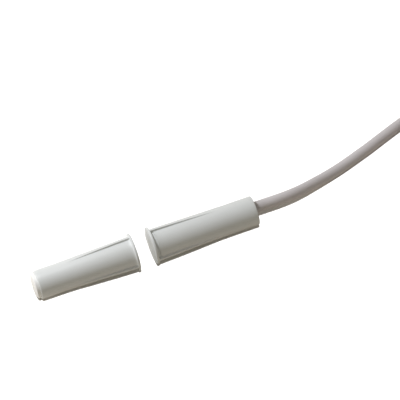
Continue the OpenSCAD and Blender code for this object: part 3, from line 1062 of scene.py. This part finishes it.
    def core_path(self, core: Core, start: float, end: float) -> list[Vector]:
        """The centre line of one core beyond the jacket, sagging to the floor.

        Args:
            core: which core.
            start: distance from the jacket's end at which the path starts.
            end: distance at which it ends.

        Returns:
            Points along the core.
        """
        last, before = Vector(self.tail_mm[-1]) * MM, Vector(self.tail_mm[-2]) * MM
        ahead = (last - before).normalized()
        left = Vector((-ahead.y, ahead.x, 0.0))
        side, lift = (place * self.core_pitch / 2 for place in core.sides)
        spread, floor = math.radians(core.spread_deg), self.core_diameter / 2
        points = []
        for i in range(self.core_samples + 1):
            s = start + (end - start) * i / self.core_samples
            share = s / (self.core_length + self.tip_length)
            drop = smoothstep(0.0, self.core_settles, share)
            widening = self.spread_at_jacket + (1.0 - self.spread_at_jacket) * share
            place = last + ahead * (s * math.cos(spread)) + left * (side + s * math.sin(spread) * widening)
            points.append(Vector((place.x, place.y, (last.z + lift) * (1.0 - drop) + floor * drop)))
        return points

    def build_core(self, core: Core) -> list[Object]:
        """Models one core's insulation and the tinned strands of its tip.

        Args:
            core: which core.

        Returns:
            The insulation and the tip.
        """
        sheath, strands = bmesh.new(), bmesh.new()
        path = self.core_path(core, self.core_gap, self.core_length)
        swept_tube(sheath, path, self.core_diameter / 2, self.core_sides)
        spine = self.core_path(core, self.core_length + self.strand_start, self.core_length + self.tip_length)
        for strand in range(self.strand_count):
            swept_tube(strands, self.strand_path(spine, strand), self.strand_diameter / 2, self.strand_sides)
        word = core.word
        made = (
            (sheath, f"tail_insulation_{word}", Finish.of_core(core), f"core_{word}", f"tail_core_{word}"),
            (strands, f"tail_strands_{word}", Finish.TINNED, "tinned_copper", f"tail_wire_{word}"),
        )
        return [
            Piece(name, Body.SWITCH, finish, slot, [node]).from_bmesh(bm, self.sharp_deg)
            for bm, name, finish, slot, node in made
        ]

    def strand_path(self, spine: Sequence[Vector], strand: int) -> list[Vector]:
        """One strand of a twisted tip: the first runs straight and the others wind round it."""
        if strand == 0:
            return list(spine)
        start = math.tau * strand / (self.strand_count - 1)
        ahead = (spine[-1] - spine[0]).normalized()
        side = ahead.cross(Vector((0.0, 0.0, 1.0))).normalized()
        up = side.cross(ahead)
        wound = []
        for i, centre in enumerate(spine):
            angle = start + math.tau * self.strand_twist * i / (len(spine) - 1)
            wound.append(centre + (side * math.cos(angle) + up * math.sin(angle)) * self.strand_diameter)
        return wound

    def build(self) -> Object:
        line = self.centre_line()
        jacket = self.build_jacket(line)
        on_it = [self.build_ties()]
        for core in Core:
            on_it += self.build_core(core)
        length = sum((b - a).length for a, b in zip(line, line[1:]))
        log.info("the lead is %.3f m long", length)
        tuple(self.switch.exit_point())
        return jacket


@dataclass(frozen=True)
class SoftLamp:
    """A soft square lamp: its direction, distance and size. An irradiance of 1 shows a colour as written."""

    name: str
    back: float
    right: float
    up: float
    distance: float
    size: float
    irradiance: float


@dataclass
class Studio:
    """Camera, lamps, floor and world."""

    azimuth_deg: float = -20.9
    elevation_deg: float = 64.0
    distance: float = 1.0
    pixels_across: float = 400.0
    focal_pixels: float = 3150.5
    sensor: float = 36.0
    clip: tuple[float, float] = (0.01, 20.0)
    target: Triple = (23.3 * MM, 12.2 * MM, 0.0)
    floor_size: float = 6.0
    table_colour: Triple = (0.94, 0.855, 0.715)
    paper_grey: float = 0.80
    paper_thickness: float = 0.1 * MM
    # Painted contact shade: the paper's colour where ambient occlusion within contact_reach is at or below
    # contact_dark; it fades back to paper_grey by contact_clear.
    painted_shade_grey: float = 0.36
    contact_reach: float = 1.1 * MM
    contact_dark: float = 0.40
    contact_clear: float = 0.66
    contact_samples: int = 8
    paper_irradiance: float = 1.6
    paper_turn_deg: float = 12.0
    paper_blur_deg: float = 3.5
    sky_colour: Triple = (1.0, 0.92, 0.78)
    sky_strength: float = 0.245
    lamp_colour: Triple = (0.94, 0.955, 1.0)
    lamps: tuple[SoftLamp, ...] = (
        SoftLamp("key_lamp", back=0.53, right=-0.58, up=0.62, distance=0.26, size=0.04, irradiance=0.66),
        SoftLamp("side_lamp", back=0.35, right=-0.9, up=0.1, distance=0.60, size=0.30, irradiance=0.32),
    )

    def __post_init__(self) -> None:
        """Works out the directions from the target to the camera, to the image's right and to its top."""
        a, e = math.radians(self.azimuth_deg), math.radians(self.elevation_deg)
        self.back = Vector((math.sin(a) * math.cos(e), -math.cos(a) * math.cos(e), math.sin(e)))
        self.right = Vector((math.cos(a), math.sin(a), 0.0))
        self.up = self.back.cross(self.right)

    def add_facing(self, data: bpy.types.ID, towards: Vector, distance: float) -> Object:
        """Adds a camera or lamp that faces the target.

        Args:
            data: the camera or lamp.
            towards: direction from the target to it.
            distance: how far off it is.

        Returns:
            The new object.
        """
        facing = add_object(data.name, data)
        facing.location = Vector(self.target) + towards.normalized() * distance
        facing.rotation_euler = (-towards).to_track_quat("-Z", "Y").to_euler()
        return facing

    def build_camera(self) -> None:
        """Places the camera at the photograph's angle."""
        data = bpy.data.cameras.new("camera")
        data.sensor_width = self.sensor
        data.lens = self.focal_pixels / self.pixels_across * self.sensor
        data.clip_start, data.clip_end = self.clip
        bpy.context.scene.camera = self.add_facing(data, self.back, self.distance)

    def link_lamp(self, lamp: Object, paper: Object, state: str) -> None:
        """Lets a lamp light the paper alone, or all but the paper.

        Args:
            lamp: the lamp.
            paper: the paper.
            state: INCLUDE for the paper alone, EXCLUDE for all but the paper.
        """
        linked = bpy.data.collections.new(lamp.name + "_paper")
        linked.objects.link(paper)
        linked.collection_objects[0].light_linking.link_state = state
        lamp.light_linking.receiver_collection = linked

    def build_lamp(self, lamp: SoftLamp) -> Object:
        """Adds one of the soft lamps.

        Args:
            lamp: its description.

        Returns:
            The lamp.
        """
        data = bpy.data.lights.new(lamp.name, "AREA")
        data.shape, data.size, data.color = "SQUARE", lamp.size, self.lamp_colour
        data.energy = lamp.irradiance * (math.pi * lamp.distance) ** 2
        towards = self.back * lamp.back + self.right * lamp.right + self.up * lamp.up
        return self.add_facing(data, towards, lamp.distance)

    def build_paper_lamp(self) -> Object:
        """Adds a sun from close above the camera, which keeps the object's shadow close to it."""
        data = bpy.data.lights.new("paper_lamp", "SUN")
        data.angle = math.radians(self.paper_blur_deg)
        data.energy = self.paper_irradiance * math.pi
        turn = math.radians(self.paper_turn_deg)
        return self.add_facing(data, self.back * math.cos(turn) + self.up * math.sin(turn), self.distance)

    def build_sheet(self, name: str, finish: Material, height: float) -> Object:
        """Lays a flat sheet that isn't part of the object.

        Args:
            name: the sheet's name.
            finish: its material.
            height: where it lies.

        Returns:
            The sheet.
        """
        bm = bmesh.new()
        place = Matrix.Translation((0.0, 0.0, height))
        bmesh.ops.create_grid(bm, x_segments=1, y_segments=1, size=self.floor_size / 2, matrix=place)
        sheet = add_mesh(name, bm, finish)
        return sheet

    def build_paper(self) -> Object:
        """Lays the white paper that the camera alone sees, with painted shade where the object touches it:
        ambient occlusion darkens its colour there.
        """
        bench = ShaderBench("floor_paper")
        samples = {"samples": self.contact_samples}
        # Painted shade: ambient occlusion darkens the paper's colour where the object lies close to it.
        open_share = bench.node("AmbientOcclusion", samples, output="AO", Distance=self.contact_reach)
        dark, clear = self.contact_dark, self.contact_clear
        unshaded_share = ((open_share - dark) * (1.0 / (clear - dark))).clamped()
        colour = bench.blend(unshaded_share, (self.painted_shade_grey,) * 3, (self.paper_grey,) * 3)
        paper = self.build_sheet("floor", bench.close(bench.node("BsdfDiffuse", Color=colour)), 0.0)
        for rays in ("diffuse", "glossy", "transmission", "shadow"):
            setattr(paper, "visible_" + rays, False)
        return paper

    def build_table(self) -> None:
        """Lays the table that reflects the lamps onto the object, just under the paper."""
        bench = ShaderBench("table_top")
        mirrored = (bench.ray("Glossy") + bench.ray("Transmission")).clamped()
        colour = bench.blend(mirrored, self.table_colour, WHITE)
        finish = bench.close(bench.node("BsdfDiffuse", Color=colour))
        self.build_sheet("table", finish, -self.paper_thickness).visible_camera = False

    def build_world(self) -> None:
        """Lights the object evenly and shows white behind it."""
        bench = ShaderBench("studio_world", "worlds")
        shown = (bench.ray("Camera") + bench.ray("Glossy") + bench.ray("Transmission")).clamped()
        strength = shown * (1.0 - self.sky_strength) + self.sky_strength
        colour = bench.blend(shown, self.sky_colour, WHITE)
        sky = bench.node("Background", Color=colour, Strength=strength)
        bpy.context.scene.world = bench.close(sky, "OutputWorld")

    def build(self) -> None:
        """Builds the whole studio."""
        self.build_camera()
        paper = self.build_paper()
        self.build_table()
        for lamp in self.lamps:
            self.link_lamp(self.build_lamp(lamp), paper, "EXCLUDE")
        self.link_lamp(self.build_paper_lamp(), paper, "INCLUDE")
        self.build_world()
        bpy.context.scene.view_settings.view_transform = "Standard"


def main() -> None:
    """Builds the studio, the lead and both halves."""
    logging.basicConfig(level=logging.INFO, format="%(name)s: %(message)s")
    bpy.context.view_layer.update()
    Studio().build()
    switch = SwitchHalf()
    Lead(switch).build()
    switch.build()
    MagnetHalf().build()
    bpy.context.view_layer.update()


if __name__ == "__main__":
    main()
